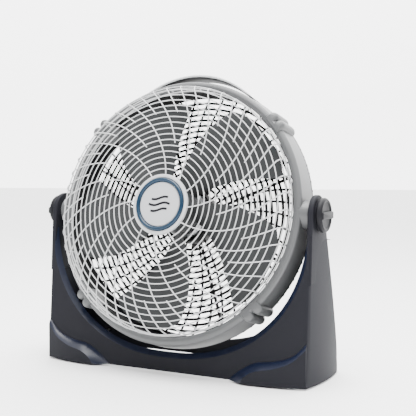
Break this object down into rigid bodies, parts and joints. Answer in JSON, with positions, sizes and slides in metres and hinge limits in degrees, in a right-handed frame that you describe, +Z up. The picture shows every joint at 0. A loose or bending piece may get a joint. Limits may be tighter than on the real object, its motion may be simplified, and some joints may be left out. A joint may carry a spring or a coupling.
{
  "type": "floor fan",
  "caption": "Round floor fan whose grilled head tilts between the arms of a U-shaped base, with a carry handle, tilt knobs and a rear speed knob.",
  "frame": {"origin": "bottom centre of the whole fan's box, on the floor", "axes": "+Z up; the fan blows towards -Y; +X to the right when looking at its front grille"},
  "size_m": [0.594, 0.227, 0.5718],
  "materials": {
    "charcoal_plastic": "satin moulded, fine grain",
    "knob_plastic": "satin",
    "pale_grey_plastic": "semi-gloss moulded",
    "white_plastic": "semi-gloss moulded",
    "grille_plastic": "semi-gloss moulded",
    "blade_plastic": "satin",
    "black_plastic": "satin",
    "blue_gloss": "high gloss",
    "silver_face": "satin metallic lacquer",
    "rubber": "matt",
    "steel": "zinc plated",
    "brass": "turned",
    "copper": "enamelled copper wire, brass stands in for it",
    "laminations": "stacked steel sheet",
    "alloy": "die cast",
    "nylon": "matt"
  },
  "bodies": {
    "base": {"base_shell": "charcoal_plastic", "base_rear_panel": "charcoal_plastic", "foot_pad_front_left": "rubber", "foot_pad_front_right": "rubber", "foot_pad_rear_left": "rubber", "foot_pad_rear_right": "rubber", "panel_screw_1": "steel", "panel_screw_2": "steel", "panel_screw_3": "steel", "panel_screw_4": "steel"},
    "head": {"head_ring": "pale_grey_plastic", "carry_handle": "white_plastic", "rim_clamp_1": "pale_grey_plastic", "rim_clamp_2": "pale_grey_plastic", "rim_clamp_3": "pale_grey_plastic", "rim_clamp_4": "pale_grey_plastic", "front_grille": "grille_plastic", "badge_rim": "blue_gloss", "badge_disc": "silver_face", "rear_grille": "black_plastic", "motor_bell_front": "alloy", "motor_bell_rear": "alloy", "stator_core": "laminations", "winding_front": "copper", "winding_rear": "copper", "bearing_front": "brass", "bearing_rear": "brass", "motor_screw_1": "steel", "motor_screw_2": "steel", "motor_screw_3": "steel", "motor_screw_4": "steel", "control_housing": "black_plastic", "cord_gland": "rubber", "speed_switch": "nylon", "run_capacitor": "black_plastic", "pivot_insert_left": "brass", "pivot_insert_right": "brass", "friction_washer_left": "nylon", "friction_washer_right": "nylon"},
    "rotor": {"impeller": "blade_plastic", "impeller_nut": "black_plastic", "motor_shaft": "steel", "rotor_core": "laminations"},
    "selector": {"speed_knob": "knob_plastic", "switch_stem": "steel"},
    "left_knob": {"tilt_knob_left": "knob_plastic", "knob_bolt_left": "steel"},
    "right_knob": {"tilt_knob_right": "knob_plastic", "knob_bolt_right": "steel"}
  },
  "joints": [
    {"name": "head_tilt", "type": "hinge", "parent": "base", "child": "head", "pos_m": [0, 0.00515, 0.3], "axis": [1, 0, 0], "range_deg": [-77, 30]},
    {"name": "impeller_spin", "type": "hinge", "parent": "head", "child": "rotor", "pos_m": [0, 0.00515, 0.3], "axis": [0, -0.9744, 0.225], "continuous": true},
    {"name": "speed_turn", "type": "hinge", "parent": "head", "child": "selector", "pos_m": [0, 0.00515, 0.3], "axis": [0, -0.9744, 0.225], "range_deg": [0, 135]},
    {"name": "left_knob_turn", "type": "hinge", "parent": "head", "child": "left_knob", "pos_m": [-0.28, 0.00515, 0.3], "axis": [-1, 0, 0], "range_deg": [0, 180]},
    {"name": "right_knob_turn", "type": "hinge", "parent": "head", "child": "right_knob", "pos_m": [0.28, 0.00515, 0.3], "axis": [1, 0, 0], "range_deg": [0, 180]}
  ]
}
